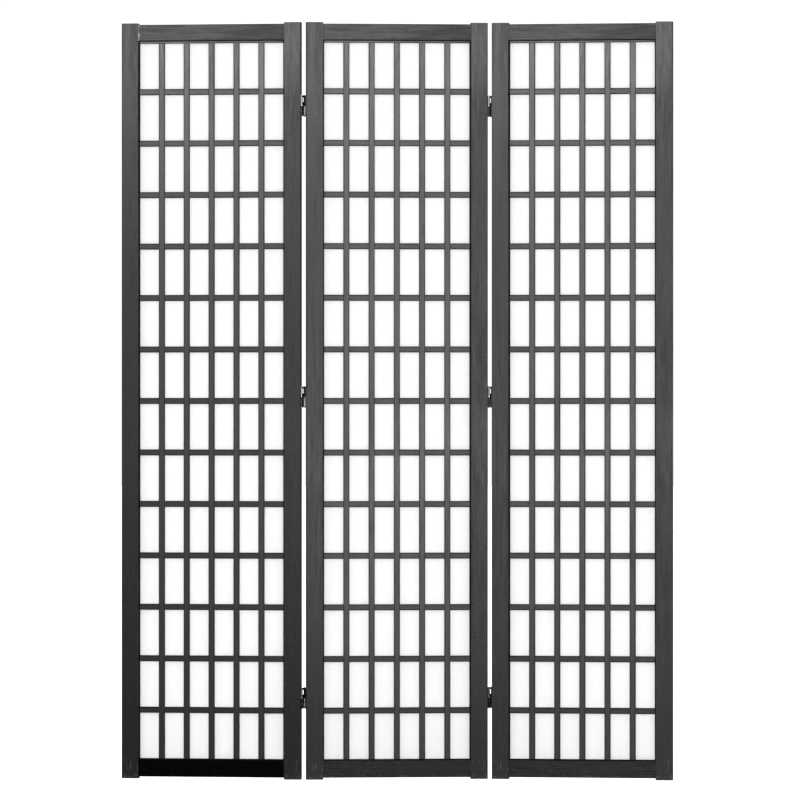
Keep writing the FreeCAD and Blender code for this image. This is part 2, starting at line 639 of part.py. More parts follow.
def make_screen():
    """The panels' places follow from the middle one: each outer panel is folded with its
    hinges' links, the left one about the back pins and the right one about the front pins."""
    flat = vector()
    fold = "-sizes.rest_fold"
    middle = add_frame("middle_panel_frame", move(flat, "sizes.middle_turn"))
    left_edge = add_frame("middle_left_edge", f"{middle} * {move(vector('-' + HALF_WIDTH))}")
    right_edge = add_frame("middle_right_edge", f"{middle} * {move(vector(HALF_WIDTH))}")

    left_in_line = f"{left_edge} * {move(vector('-sizes.hinge_gap'))}"
    left_folded = f"{left_in_line} * {move(BACK_PIN, fold)} * {move(f'{BACK_PIN} * -1')}"
    left_link = add_frame("left_link_frame", left_folded)
    right_folded = f"{right_edge} * {move(FRONT_PIN, fold)} * {move(f'{FRONT_PIN} * -1')}"
    right_link = add_frame("right_link_frame", right_folded)

    left = add_frame("left_panel_frame", f"{left_link} * {move(vector('-' + HALF_WIDTH))}")
    right_far = f"{right_link} * {move(vector('sizes.hinge_gap'))}"
    right_start = add_frame("right_panel_edge", right_far)
    right = add_frame("right_panel_frame", f"{right_start} * {move(vector(HALF_WIDTH))}")
    doc.recompute()

    make_panel("left_panel", left, (1,))
    make_panel("middle_panel", middle, (-1, 1))
    make_panel("right_panel", right, (-1,))
    make_hinge_line("left", left_link, left_link, left_edge)
    make_hinge_line("right", right_link, right_edge, right_start)

    screw = make_screw()
    make_screws("left_panel_hinge_screws", left_link, screw, 1)
    make_screws("middle_panel_left_hinge_screws", left_edge, screw, -1)
    make_screws("middle_panel_right_hinge_screws", right_edge, screw, 1)
    make_screws("right_panel_hinge_screws", right_start, screw, -1)


def check_document():
    """No object may have failed, and each piece has to be a sound shape."""
    for thing in doc.Objects:
        if "Invalid" in thing.State or "Error" in thing.State:
            raise RuntimeError(f"{thing.Name} failed: {thing.State}")
    for node in nodes:
        if node.Shape.isNull() or not node.Shape.isValid() or not node.Shape.Solids:
            raise RuntimeError(f"{node.Name} has no sound shape")


def write_parts():
    os.makedirs("parts", exist_ok=True)
    for node in nodes:
        node.Label = node.Name
        node.Shape.exportStep(f"parts/{node.Label}.step")


fill_sheet()
make_screen()
doc.recompute()
check_document()
write_parts()
print(len(nodes), "nodes,", sum(len(node.Shape.Solids) for node in nodes), "solids")
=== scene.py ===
import json
import math

import bmesh
import bpy
from mathutils import Matrix, Vector


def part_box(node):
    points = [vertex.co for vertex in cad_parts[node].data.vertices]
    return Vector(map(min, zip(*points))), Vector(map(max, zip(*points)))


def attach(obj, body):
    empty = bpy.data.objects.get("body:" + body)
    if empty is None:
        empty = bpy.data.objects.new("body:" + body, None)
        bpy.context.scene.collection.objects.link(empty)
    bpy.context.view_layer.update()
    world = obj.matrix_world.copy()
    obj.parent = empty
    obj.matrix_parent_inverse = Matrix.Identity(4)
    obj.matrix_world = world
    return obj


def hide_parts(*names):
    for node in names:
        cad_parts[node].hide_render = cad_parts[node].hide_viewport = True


bl_info = {
    "name": "Shoji folding screen",
    "version": (1, 0, 0),
    "blender": (4, 5, 0),
    "location": "View3D > Sidebar > Shoji screen",
    "description": "Lattices, paper, stained wood and hinges of a three-panel folding screen",
    "category": "Object",
}

MM = 0.001
# The axes along a panel or the whole screen, and up it.
ALONG, UP = 0, 2

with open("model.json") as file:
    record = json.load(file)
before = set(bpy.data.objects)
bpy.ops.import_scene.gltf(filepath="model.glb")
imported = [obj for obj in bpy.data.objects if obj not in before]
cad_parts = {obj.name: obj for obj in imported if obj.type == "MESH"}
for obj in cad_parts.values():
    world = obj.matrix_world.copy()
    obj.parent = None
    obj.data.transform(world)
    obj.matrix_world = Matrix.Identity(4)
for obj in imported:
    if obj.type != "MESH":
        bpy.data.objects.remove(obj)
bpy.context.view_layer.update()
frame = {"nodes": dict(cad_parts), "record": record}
PANELS = ("left_panel", "middle_panel", "right_panel")
NICKEL_ENDINGS = ("_pins", "_screws")

# The floor and the world: how bright they are where they are seen, on matt surfaces and in
# reflections.
WHITE = (1.0, 1.0, 1.0, 1.0)
FLOOR_RADIUS, FLOOR_SIDES = 60.0, 96
FLOOR_COLOUR = (0.8, 0.8, 0.8)
FLOOR_GLOW = 0.75
FLOOR_REFLECTED = 0.1
WORLD_FILL = 1.12
WORLD_REFLECTED = 0.08
# Each softbox: its name, its place and target (m), its width and height (m), its power (W),
# whether it shows in reflections, and whether it lights matt surfaces.
SOFTBOXES = (
    ("top_softbox", (-0.53, -1.7, 2.04), (-0.27, 0.0, 1.67), (3.4, 0.25), 46.0, True, False),
    ("front_softbox", (0.75, -2.1, 0.78), (0.38, 0.0, 0.78), (3.3, 0.30), 22.0, True, False),
    ("front_fill", (0.0, -3.5, 1.1), (0.0, 0.0, 1.0), (3.0, 1.4), 26.0, False, True),
    ("back_softbox", (0.2, 1.7, 2.75), (0.1, 0.0, 1.5), (3.2, 0.40), 50.0, True, False),
    ("back_left_softbox", (-2.3, 1.7, 0.75), (0.0, 0.0, 0.85), (0.8, 1.5), 24.0, True, False),
    ("back_right_softbox", (2.3, 1.7, 0.75), (0.0, 0.0, 0.85), (0.8, 1.5), 24.0, True, False),
)

# The camera stands far off, level and almost square on. Its lens and sensor are in mm, and
# how far it sees is in m.
CAMERA_PLACE = (7.4 * MM, -17.5, 894.5 * MM)
CAMERA_LENS, CAMERA_SENSOR, CAMERA_REACH = 333.8, 36.0, 200.0

# How glossy the finish is on each kind of piece, and beside the edges of the slats, where less
# gloss paints shade.
STILE_GLOSS = 0.52
TOP_RAIL_GLOSS = 0.36
BOTTOM_RAIL_GLOSS = 0.34
UPRIGHT_GLOSS = 0.90
UPRIGHT_EDGE_SHADE_GLOSS = 0.50
CROSS_GLOSS = 0.72
CROSS_EDGE_SHADE_GLOSS = 0.15
# The finish's roughness where the stain lies darkest and lightest, what it gains at an edge, and
# what it loses towards a panel's foot, where shade is also painted.
DARK_ROUGHNESS, LIGHT_ROUGHNESS = 0.58, 0.34
EDGE_ROUGHER = 0.26
FOOT_SMOOTHER = 0.12
# How far the grain takes the stain's tone from 1, and what is left of it where shade is painted:
# beside the edges of the frame and of the slats, and towards the foot of a panel.
GRAIN_SPREAD = 0.5
FRAME_EDGE_SHADE = 0.62
SLAT_EDGE_SHADE = 0.55
FOOT_SHADE_TONE = 0.6
# The darkest and lightest that one slat is beside the next.
SLAT_TONES = (0.92, 1.08)
# How far shade is painted onto each panel's foot and its finish made smoother, and the heights
# (m) between which that fades out.
FOOT_SHADE = {"left_panel": 0.65, "middle_panel": 0.35, "right_panel": 0.0}
FOOT_SHADE_HEIGHT = (0.15, 0.75)
# The heights up to which the stain is scratched and chipped, and how much of it the scratches
# take off a stile and a rail.
SCRATCHED_HEIGHT = 70 * MM
CHIPPED_HEIGHT = 14 * MM
SCRATCH_DEPTH = {UP: 0.42, ALONG: 0.16}
# The darker, duller wood painted on the border strips as the shade that the frame casts on them.
BORDER_SHADE_GLOSS = 0.08
BORDER_SHADE_TONE = 0.35
# The left panel's bottom rail is made far darker and duller than the rest.
BLACK_RAIL = "left_panel_bottom_rail"
BLACK_RAIL_GLOSS = 0.04
BLACK_RAIL_TONE = 0.12
# The glue line that has opened between the left panel's left stile and its top rail.
OPEN_JOINT = "left_panel_top_rail"
OPEN_JOINT_WIDTH = 2.0 * MM
# Half the height of the highlight painted on the strap at a link's mid-height.
STRAP_HALF_HEIGHT = 1.75 * MM
# How far along a link the shade painted round its window and the highlight painted on its plate
# start.
WINDOW_SHARE = 0.3
BEECH = (0.50, 0.34, 0.20)

# Facets of the paper from one slat to the next.
PAPER_STEPS = 6
# Points closer than this are on the same edge of a bar, or on the same face.
SAME_EDGE = 0.05 * MM
SAME_FACE = 0.01 * MM
# The attribute edge above which a face of a slat takes the duller copy of its wood, which paints
# shade at the edges.
EDGE_SHADE_START = 0.25
# Keeps the shades of the cross slats apart from those of the uprights.
CROSS_SEEDS = 10
RANDOM_FLOAT = 1  # the Random Value node's output for plain numbers
# The Mix node's sockets for colours.
MIX_SHARE, MIX_FIRST, MIX_SECOND, MIX_RESULT = 0, 6, 7, 2
# Nearly all of a noise pattern lies between these values.
NOISE_SPAN = (0.3, 0.7)
# The wood's grain: broad clouds, the figure, short streaks and the fine fibres. Each has its
# squeeze along the grain, its offset, scale, detail, roughness and weight.
GRAIN = (
    (0.35, 0.0, 9.0, 2.0, 0.5, 0.7),
    (0.035, 3.1, 150.0, 3.0, 0.6, 0.6),
    (0.07, 5.3, 280.0, 3.0, 0.6, 0.9),
    (0.02, 7.7, 900.0, 3.0, 0.65, 0.4),
)
# Nearly all of their sum lies within this of 0.
GRAIN_SUM = 1.3


# Places, all read from the frame. A panel's own place has its origin on the floor at the
# panel's centre, X along the panel and -Y out of its front.


def place_of(panel):
    feet = {mount["name"]: Vector(mount["pos_m"]) for mount in frame["record"]["mounts"]}
    left = feet[f"{panel}_left_foot"]
    right = feet[f"{panel}_right_foot"]
    turn = math.atan2(right.y - left.y, right.x - left.x)
    return Matrix.Translation((left + right) / 2) @ Matrix.Rotation(turn, 4, "Z")


PLACES = {panel: place_of(panel) for panel in PANELS}


def points_of(node, panel):
    """A node's points in the panel's own place."""
    inwards = PLACES[panel].inverted()
    return [inwards @ vertex.co for vertex in frame["nodes"][node].data.vertices]


def box_of(node, panel):
    """Lowest and highest corner of a node in the panel's own place."""
    points = points_of(node, panel)
    low = Vector([min(point[axis] for point in points) for axis in range(3)])
    high = Vector([max(point[axis] for point in points) for axis in range(3)])
    return low, high


def bars_of(node, panel, axis):
    """(low, high) of each bar that a lattice node has side by side along an axis."""
    edges = []
    for value in sorted(point[axis] for point in points_of(node, panel)):
        if not edges or value - edges[-1] > SAME_EDGE:
            edges.append(value)
    return list(zip(edges[::2], edges[1::2]))


class Lattice:
    """Where the bars of a panel's lattice lie, in the panel's own place."""

    def __init__(self, panel):
        uprights = f"{panel}_upright_slats"
        self.low, self.high = box_of(uprights, panel)
        columns = bars_of(uprights, panel, ALONG)
        rows = bars_of(f"{panel}_cross_slats", panel, UP)
        self.side_strips = (columns[0], columns[-1])
        self.columns = columns[1:-1]
        self.end_strips = (rows[0], rows[-1])
        self.rows = rows[1:-1]
        self.clear_left, self.clear_right = columns[0][1], columns[-1][0]
        self.clear_low, self.clear_high = rows[0][1], rows[-1][0]
        self.panes_across = spans_between(self.clear_left, self.columns, self.clear_right)
        self.panes_up = spans_between(self.clear_low, self.rows, self.clear_high)


def spans_between(start, bars, end):
    """(low, high) of each span that a row of bars leaves open."""
    edges = [start] + [edge for bar in bars for edge in bar] + [end]
    return list(zip(edges[::2], edges[1::2]))


# Sizes and colours that a user would change.


class ScreenLook(bpy.types.PropertyGroup):
    frame_stain: bpy.props.FloatVectorProperty(
        name="Frame stain", description="Colour of the stiles and rails", subtype="COLOR",
        size=3, min=0, max=1, default=(0.014, 0.014, 0.014),
    )
    lattice_stain: bpy.props.FloatVectorProperty(
        name="Lattice stain", description="Colour of the slats", subtype="COLOR",
        size=3, min=0, max=1, default=(0.0155, 0.0155, 0.0155),
    )
    bare_wood: bpy.props.FloatVectorProperty(
        name="Worn wood", description="Colour where the stain has rubbed off", subtype="COLOR",
        size=3, min=0, max=1, default=(0.30, 0.295, 0.29),
    )
    paper_white: bpy.props.FloatVectorProperty(
        name="Paper", description="Colour of the paper", subtype="COLOR",
        size=3, min=0, max=1, default=(0.81, 0.81, 0.81),
    )
    nickel: bpy.props.FloatVectorProperty(
        name="Nickel", description="Colour of the hinges' links, pins and screws",
        subtype="COLOR", size=3, min=0, max=1, default=(0.36, 0.36, 0.36),
    )
    # Bright nickel, painted on the links' straps and lower plates as highlight.
    strap: bpy.props.FloatVectorProperty(
        name="Highlight nickel", description="Colour of the links' straps and lower plates",
        subtype="COLOR", size=3, min=0, max=1, default=(0.85, 0.85, 0.85),
    )
    # Near-black nickel, painted on the hinge leaves and round the links' windows as shade.
    shaded_black: bpy.props.FloatVectorProperty(
        name="Shaded black nickel", description="Colour of the hinge leaves and the windows' frames",
        subtype="COLOR", size=3, min=0, max=1, default=(0.05, 0.05, 0.05),
    )


class ScreenSizes(bpy.types.PropertyGroup):
    slat_arris: bpy.props.FloatProperty(
        name="Slat arris", description="Rounding of the slats' front edges",
        default=0.7 * MM, min=0.1 * MM, max=2 * MM, unit="LENGTH", precision=5,
    )
    arris_segments: bpy.props.IntProperty(
        name="Arris segments", description="Facets of each rounded edge",
        default=3, min=1, max=8,
    )
    # The band beside each edge where shade is painted into the stain.
    edge_band: bpy.props.FloatProperty(
        name="Edge band", description="Width over which the stain is darker beside an edge",
        default=2.2 * MM, min=0, max=6 * MM, unit="LENGTH", precision=5,
    )
    paper_sag: bpy.props.FloatProperty(
        name="Paper slack", description="How far the paper stands off between two slats",
        default=0.5 * MM, min=0, max=3 * MM, unit="LENGTH", precision=5,
    )
    grain_seed: bpy.props.IntProperty(
        name="Seed", description="Seed of the slats' differences in tone", default=7, min=0,
    )


# Meshes.


def new_piece(name, mesh):
    piece = bpy.data.objects.new(name, mesh)
    bpy.context.scene.collection.objects.link(piece)
    return piece


def mesh_from(bm, name):
    mesh = bpy.data.meshes.new(name)
    bm.to_mesh(mesh)
    bm.free()
    return mesh


def half_lapped_outline(start, end, plain, notched, floor, notches):
    """A bar's side view: one straight side, and one side with a notch for each crossing."""
    outline = [(start, plain), (end, plain), (end, notched)]
    for low, high in reversed(notches):
        outline += [(high, notched), (high, floor), (low, floor), (low, notched)]
    return outline + [(start, notched)]


def add_bar(bm, outline, layers, point, sizes, front):
    """A bar from its side view, built up in layers across its face, with eased front edges.
    point turns (along, depth, layer) into a place in the panel."""
    rings = [[bm.verts.new(point(along, depth, layer)) for along, depth in outline]
             for layer in layers]
    faces = [bm.faces.new(rings[0]), bm.faces.new(list(reversed(rings[-1])))]
    for low, high in zip(rings, rings[1:]):
        for index in range(len(outline)):
            after = (index + 1) % len(outline)
            faces.append(bm.faces.new((low[after], low[index], high[index], high[after])))
    bmesh.ops.recalc_face_normals(bm, faces=faces)
    eased = set()
    for ring in (rings[0], rings[-1]):
        for start, end in zip(ring, ring[1:] + ring[:1]):
            if max(abs(start.co.y - front), abs(end.co.y - front)) < SAME_FACE:
                eased.add(bm.edges.get((start, end)))
    bmesh.ops.bevel(
        bm, geom=list(eased), offset=sizes.slat_arris, segments=sizes.arris_segments,
        profile=0.5, affect="EDGES", clamp_overlap=True,
    )


def mark_edges(mesh, axis, low, high, band):
    """Writes the attribute edge: 1 at the bar's long edges, 0 a band's width in from them. The
    slats' wood paints shade beside the edges by it.
    """
    edge = mesh.attributes.new("edge", "FLOAT", "POINT")
    for vertex, value in zip(mesh.vertices, edge.data):
        inset = min(vertex.co[axis] - low, high - vertex.co[axis])
        value.value = max(0.0, 1.0 - inset / band)


def layers_between(low, high, band):
    return [low, low + band, high - band, high]


def upright_slat(lattice, sizes, column, notches, low, high, name):
    """One upright bar, notched at the back where it has crossings."""
    front, back = lattice.low.y, lattice.high.y
    outline = half_lapped_outline(low, high, front, back, (front + back) / 2, notches)
    bm = bmesh.new()
    layers = layers_between(*column, sizes.edge_band)
    add_bar(bm, outline, layers, lambda z, y, x: (x, y, z), sizes, front)
    mesh = mesh_from(bm, name)
    mark_edges(mesh, ALONG, *column, sizes.edge_band)
    return mesh


def cross_slat(lattice, sizes, row, notches, name, line=None):
    """One cross bar, notched at the front where it has crossings. line is a height at which
    its face is split."""
    front, back = lattice.low.y, lattice.high.y
    ends = (lattice.clear_left, lattice.clear_right)
    outline = half_lapped_outline(*ends, back, front, (front + back) / 2, notches)
    bm = bmesh.new()
    layers = layers_between(*row, sizes.edge_band)
    if line is not None:
        layers = sorted(layers + [line])
    add_bar(bm, outline, layers, lambda x, y, z: (x, y, z), sizes, front)
    mesh = mesh_from(bm, name)
    mark_edges(mesh, UP, *row, sizes.edge_band)
    return mesh


def shade_above(mesh, height):
    """Gives the second material, painted shade, to a strip's faces above a height, under the
    rail's edge.
    """
    for face in mesh.polygons:
        if face.center.z > height:
            face.material_index = 1


def stations(start, panes, end):
    """Lines across the sheet: at its ends, at both edges of each slat, and between slats."""
    lines = [start, end]
    for low, high in panes:
        lines += [low + (high - low) * step / PAPER_STEPS for step in range(PAPER_STEPS + 1)]
    return sorted({round(line, 6) for line in lines})


def slack(value, panes):
    """0 at a slat or the border, 1 midway between two slats."""
    for low, high in panes:
        if low < value < high:
            return math.sin(math.pi * (value - low) / (high - low))
    return 0.0


def paper_mesh(panel, sizes):
    """A thin closed sheet that touches the slats and stands a little slack between them, and
    its flat width and height."""
    lattice = Lattice(panel)
    low, high = box_of(f"{panel}_paper", panel)
    across = stations(low.x, lattice.panes_across, high.x)
    upward = stations(low.z, lattice.panes_up, high.z)
    bm = bmesh.new()
    sides = []
    for depth in (low.y, high.y):
        rows = []
        for z in upward:
            lift = slack(z, lattice.panes_up)
            row = []
            for x in across:
                share = slack(x, lattice.panes_across)
                row.append(bm.verts.new((x, depth + sizes.paper_sag * share * lift, z)))
            rows.append(row)
        sides.append(rows)
    for rows, turned in zip(sides, (False, True)):
        for below, above in zip(rows, rows[1:]):
            for index in range(len(across) - 1):
                corner = [below[index], below[index + 1], above[index + 1], above[index]]
                bm.faces.new(reversed(corner) if turned else corner)
    front, back = sides
    rims = (
        (front[0], back[0]), (front[-1], back[-1]),
        ([row[0] for row in front], [row[0] for row in back]),
        ([row[-1] for row in front], [row[-1] for row in back]),
    )
    for near, far in rims:
        for index in range(len(near) - 1):
            bm.faces.new((near[index], near[index + 1], far[index + 1], far[index]))
    bmesh.ops.recalc_face_normals(bm, faces=bm.faces)
    for face in bm.faces:
        face.smooth = True
    return mesh_from(bm, f"{panel}_paper_sheet"), (high.x - low.x, high.z - low.z)


# The node tree that repeats a slat.


def add_node(tree, kind, inputs=None, **settings):
    """A node of a tree. An input is a plain value, or another node's output to link."""
    node = tree.nodes.new(kind)
    for name, value in settings.items():
        setattr(node, name, value)
    for key, value in (inputs or {}).items():
        if isinstance(value, bpy.types.NodeSocket):
            tree.links.new(value, node.inputs[key])
        else:
            node.inputs[key].default_value = value
    return node


def slat_row_tree():
    """Repeats a slat at a pitch, gives each copy a tone of its own, and its edges a duller copy
    of the wood, which paints shade there.
    """
    tree = bpy.data.node_groups.new("slat_row", "GeometryNodeTree")
    for name, kind in (
        ("Slat", "Geometry"), ("Count", "Int"), ("Pitch", "Vector"),
        ("Shade seed", "Int"), ("Material", "Material"), ("Edge shade material", "Material"),
    ):
        tree.interface.new_socket(name, in_out="INPUT", socket_type=f"NodeSocket{kind}")
    tree.interface.new_socket("Row", in_out="OUTPUT", socket_type="NodeSocketGeometry")
    given = tree.nodes.new("NodeGroupInput").outputs
    line = add_node(
        tree, "GeometryNodeMeshLine", {"Count": given["Count"], "Offset": given["Pitch"]},
        mode="OFFSET",
    )
    copies = add_node(
        tree, "GeometryNodeInstanceOnPoints",
        {"Points": line.outputs["Mesh"], "Instance": given["Slat"]},
    )
    shade = add_node(
        tree, "FunctionNodeRandomValue", {"Seed": given["Shade seed"]}, data_type="FLOAT",
    )
    marked = add_node(
        tree, "GeometryNodeStoreNamedAttribute",
        {"Geometry": copies.outputs["Instances"], "Name": "shade",
         "Value": shade.outputs[RANDOM_FLOAT]},
        data_type="FLOAT", domain="INSTANCE",
    )
    real = add_node(
        tree, "GeometryNodeRealizeInstances", {"Geometry": marked.outputs["Geometry"]},
    )
    faced = add_node(
        tree, "GeometryNodeSetMaterial",
        {"Geometry": real.outputs["Geometry"], "Material": given["Material"]},
    )
    edge = add_node(tree, "GeometryNodeInputNamedAttribute", {"Name": "edge"}, data_type="FLOAT")
    beside = add_node(
        tree, "FunctionNodeCompare", {"A": edge.outputs["Attribute"], "B": EDGE_SHADE_START},
        data_type="FLOAT", operation="GREATER_THAN",
    )
    finished = add_node(
        tree, "GeometryNodeSetMaterial",
        {"Geometry": faced.outputs["Geometry"], "Selection": beside.outputs["Result"],
         "Material": given["Edge shade material"]},
    )
    row = tree.nodes.new("NodeGroupOutput")
    tree.links.new(finished.outputs["Geometry"], row.inputs["Row"])
    return tree


def run_tree(piece, tree, values):
    """Runs a node tree on a piece with named inputs, and keeps the result as a plain mesh."""
    modifier = piece.modifiers.new(tree.name, "NODES")
    modifier.node_group = tree
    for socket in tree.interface.items_tree:
        if socket.name in values:
            modifier[socket.identifier] = values[socket.name]
    bpy.context.view_layer.update()
    evaluated = piece.evaluated_get(bpy.context.evaluated_depsgraph_get())
    finished = bpy.data.meshes.new_from_object(evaluated)
    piece.modifiers.clear()
    piece.data = finished


def settle(piece, panel):
    """Moves a finished mesh from the panel's own place to the row frame, on its body."""
    piece.data.transform(PLACES[panel])
    piece.data.update()
    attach(piece, panel)


# Materials. Wood and paper read the place of a point in its panel, so that the grain runs
# with the piece whichever way the panel stands. The rest read its place in the whole screen.


def new_material(name):
    material = bpy.data.materials.new(name)
    material.use_nodes = True
    material.node_tree.nodes.clear()
    return material, material.node_tree


def finish_material(tree, values):
    """The surface itself. values are the shader's inputs: plain numbers or linked outputs."""
    shader = add_node(tree, "ShaderNodeBsdfPrincipled", values)
    output = tree.nodes.new("ShaderNodeOutputMaterial")
    tree.links.new(shader.outputs["BSDF"], output.inputs["Surface"])


def place_on_screen(tree):
    """The point being shaded, in the whole screen."""
    return add_node(tree, "ShaderNodeTexCoord").outputs["Object"]


def place_in_panel(tree, panel):
    """The point being shaded, in the panel's own place."""
    inwards = PLACES[panel].inverted()
    return add_node(
        tree, "ShaderNodeMapping",
        {"Vector": place_on_screen(tree), "Rotation": inwards.to_euler(),
         "Location": inwards.translation},
    ).outputs["Vector"]


def split_place(tree, position):
    """The X, Y and Z of a place."""
    return add_node(tree, "ShaderNodeSeparateXYZ", {"Vector": position}).outputs


def stretched(tree, position, along, scale, offset=0.0):
    """The place, squeezed along the grain so that a pattern runs out along it."""
    squeeze = [1.0, 1.0, 1.0]
    squeeze[along] = scale
    return add_node(
        tree, "ShaderNodeMapping",
        {"Vector": position, "Scale": squeeze, "Location": (offset, offset, offset)},
    ).outputs["Vector"]


def noise(tree, position, scale, detail=2.0, roughness=0.5):
    return add_node(
        tree, "ShaderNodeTexNoise",
        {"Vector": position, "Scale": scale, "Detail": detail, "Roughness": roughness},
    ).outputs["Fac"]


def calculate(tree, operation, first, second=0.0, clamp=False):
    return add_node(
        tree, "ShaderNodeMath", {0: first, 1: second}, operation=operation, use_clamp=clamp,
    ).outputs["Value"]


def remap(tree, value, low, high, to_low, to_high):
    return add_node(
        tree, "ShaderNodeMapRange",
        {"Value": value, "From Min": low, "From Max": high, "To Min": to_low, "To Max": to_high},
    ).outputs["Result"]


def vary(tree, pattern, low, high):
    """A noise pattern, spread from low to high."""
    return remap(tree, pattern, *NOISE_SPAN, low, high)


def blend_colours(tree, share, first, second, mode="MIX"):
    """Two colours mixed by a share; either may be a plain colour or a linked one."""
    inputs = {MIX_SHARE: share}
    for key, colour in ((MIX_FIRST, first), (MIX_SECOND, second)):
        linked = isinstance(colour, bpy.types.NodeSocket)
        inputs[key] = colour if linked else (*colour, 1.0)
    mix = add_node(tree, "ShaderNodeMix", inputs, data_type="RGBA", blend_type=mode)
    return mix.outputs[MIX_RESULT]


def grain_tone(tree, position, along):
    """How light the stain lies, about 1, and the pattern of the fine fibres."""
    tone = 0.0
    for squeeze, offset, scale, detail, roughness, weight in GRAIN:
        run_out = stretched(tree, position, along, squeeze, offset)
        pattern = noise(tree, run_out, scale, detail, roughness)
        tone = calculate(tree, "ADD", tone, vary(tree, pattern, -weight, weight))
    tone = remap(tree, tone, -GRAIN_SUM, GRAIN_SUM, 1.0 - GRAIN_SPREAD, 1.0 + GRAIN_SPREAD)
    return tone, pattern


def scaled_colour(tree, colour, tone):
    """A colour, plain or linked, made lighter or darker by a tone."""
    grey = add_node(tree, "ShaderNodeCombineColor", {"Red": tone, "Green": tone, "Blue": tone})
    return blend_colours(tree, 1.0, colour, grey.outputs["Color"], "MULTIPLY")


def bump(tree, pattern, height, strength):
    return add_node(
        tree, "ShaderNodeBump", {"Height": pattern, "Distance": height, "Strength": strength},
    ).outputs["Normal"]


def shaded_foot(tree, position, panel):
    """How far shade is painted and the finish made smoother, highest at the foot of the panel.
    """
    height = split_place(tree, position)["Z"]
    return remap(tree, height, *FOOT_SHADE_HEIGHT, FOOT_SHADE[panel], 0.0)


def satin_finish(tree, stain, tone, edge, foot_shade_mask, gloss, fibre):
    """The satin finish over a stain: rougher where the stain lies dark and at the edges, where
    the finish wore off, and smoother towards the foot, where shade is painted."""
    roughness = remap(
        tree, tone, 1.0 - GRAIN_SPREAD, 1.0 + GRAIN_SPREAD, DARK_ROUGHNESS, LIGHT_ROUGHNESS,
    )
    smoother = calculate(tree, "MULTIPLY", foot_shade_mask, FOOT_SMOOTHER)
    rougher = calculate(tree, "MULTIPLY", edge, EDGE_ROUGHER)
    roughness = calculate(tree, "SUBTRACT", roughness, smoother)
    finish_material(tree, {
        "Base Color": stain, "Roughness": calculate(tree, "ADD", roughness, rougher),
        "Specular IOR Level": gloss, "Normal": bump(tree, fibre, 0.2 * MM, 0.6),
    })


def frame_wood(name, panel, along, look, face, band, gloss, depth=1.0, crack=None):
    """Stained wood of a stile or rail, with shade painted into the stain beside its long edges
    and towards the panel's foot. face is where its face starts and ends across the grain, so
    that the painted shade can lie beside its long edges. depth is how much of the stain's tone
    is left, and crack is where along the rail a glue line has opened."""
    material, tree = new_material(name)
    position = place_in_panel(tree, panel)
    tone, fibre = grain_tone(tree, position, along)
    parts = split_place(tree, position)
    # Both stiles share one face, because the panel's own place is centred between them.
    across = calculate(tree, "ABSOLUTE", parts["X"]) if along == UP else parts["Z"]
    middle, half = (face[0] + face[1]) / 2, (face[1] - face[0]) / 2
    from_middle = calculate(tree, "ABSOLUTE", calculate(tree, "SUBTRACT", across, middle))
    edge = remap(tree, from_middle, half - band, half, 0.0, 1.0)
    foot_shade_mask = shaded_foot(tree, position, panel)
    # Painted shade: the stain is darker beside the long edges and towards the panel's foot.
    edge_shade = remap(tree, edge, 0.0, 1.0, 1.0, FRAME_EDGE_SHADE)
    at_foot = remap(tree, foot_shade_mask, 0.0, 1.0, depth, FOOT_SHADE_TONE * depth)
    shade = calculate(tree, "MULTIPLY", calculate(tree, "MULTIPLY", tone, edge_shade), at_foot)
    stain = scaled_colour(tree, look.frame_stain, shade)
    worn = calculate(tree, "MULTIPLY", worn_ends(tree, position, along), depth)
    stain = blend_colours(tree, worn, stain, look.bare_wood)
    if crack is not None:
        opened = open_joint(tree, parts["X"], position, crack)
        stain = blend_colours(tree, opened, stain, look.bare_wood)
    satin_finish(tree, stain, tone, edge, foot_shade_mask, gloss, fibre)
    return material


def open_joint(tree, along, position, end):
    """A ragged pale line of bare wood at a rail's end, where its glue line has opened."""
    ragged = noise(tree, position, 170.0, 4.0, 0.7)
    width = remap(tree, ragged, 0.42, 0.58, 0.2 * OPEN_JOINT_WIDTH, 2.0 * OPEN_JOINT_WIDTH)
    distance = calculate(tree, "ABSOLUTE", calculate(tree, "SUBTRACT", along, end))
    return calculate(tree, "LESS_THAN", distance, width)


def worn_ends(tree, position, along):
    """Scratches through the stain near the floor, deep and chipped only on the stiles, and a
    few specks higher up."""
    height = split_place(tree, position)["Z"]
    low = remap(tree, height, 0.0, SCRATCHED_HEIGHT, 1.0, 0.0)
    scratch = noise(tree, stretched(tree, position, along, 0.12, 1.7), 260.0, 5.0, 0.7)
    scratches = remap(tree, scratch, 0.57, 0.68, 0.0, SCRATCH_DEPTH[along])
    worn = calculate(tree, "MULTIPLY", low, scratches)
    if along == UP:
        foot = remap(tree, height, 0.0, CHIPPED_HEIGHT, 1.0, 0.0)
        chips = remap(tree, noise(tree, position, 190.0, 5.0, 0.7), 0.52, 0.62, 0.0, 0.5)
        worn = calculate(tree, "ADD", worn, calculate(tree, "MULTIPLY", foot, chips))
    specks = remap(tree, noise(tree, position, 300.0), 0.68, 0.74, 0.0, 0.3)
    return calculate(tree, "ADD", worn, specks, clamp=True)


